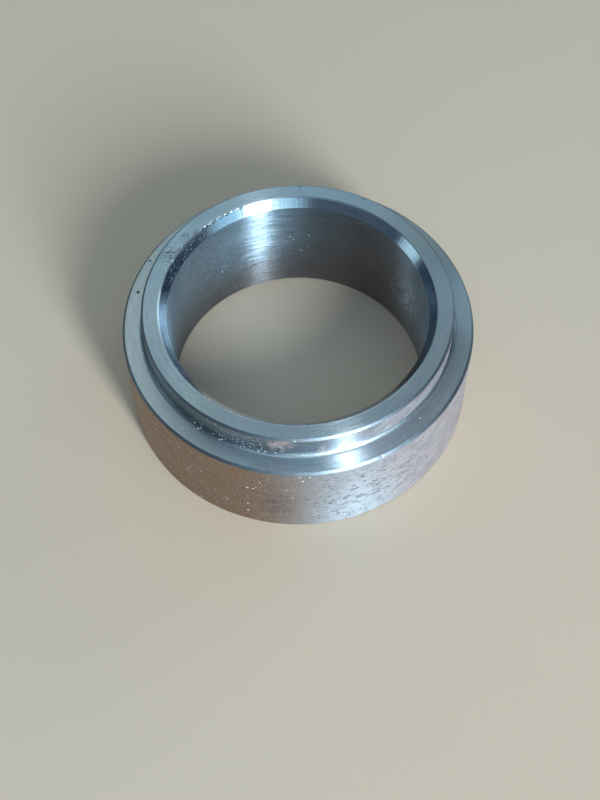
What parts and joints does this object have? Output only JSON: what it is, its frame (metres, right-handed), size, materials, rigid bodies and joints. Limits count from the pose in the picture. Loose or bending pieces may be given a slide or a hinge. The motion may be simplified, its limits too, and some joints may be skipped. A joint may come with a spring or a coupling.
{
  "type": "shaft collar",
  "caption": "Plain stepped ring of turned steel with a through bore, a lead-in chamfer and a short register spigot.",
  "frame": {"origin": "on the axis, at the flat base face that the collar stands on", "axes": "+Z along the bore axis, towards the spigot; X and Y are arbitrary because the part is round"},
  "size_m": [0.06, 0.06, 0.0226],
  "materials": {
    "turned_steel": "bright turned steel with concentric tool marks, light stains and small rust spots"
  },
  "bodies": {
    "root": {"stepped_collar": "turned_steel"}
  },
  "joints": []
}
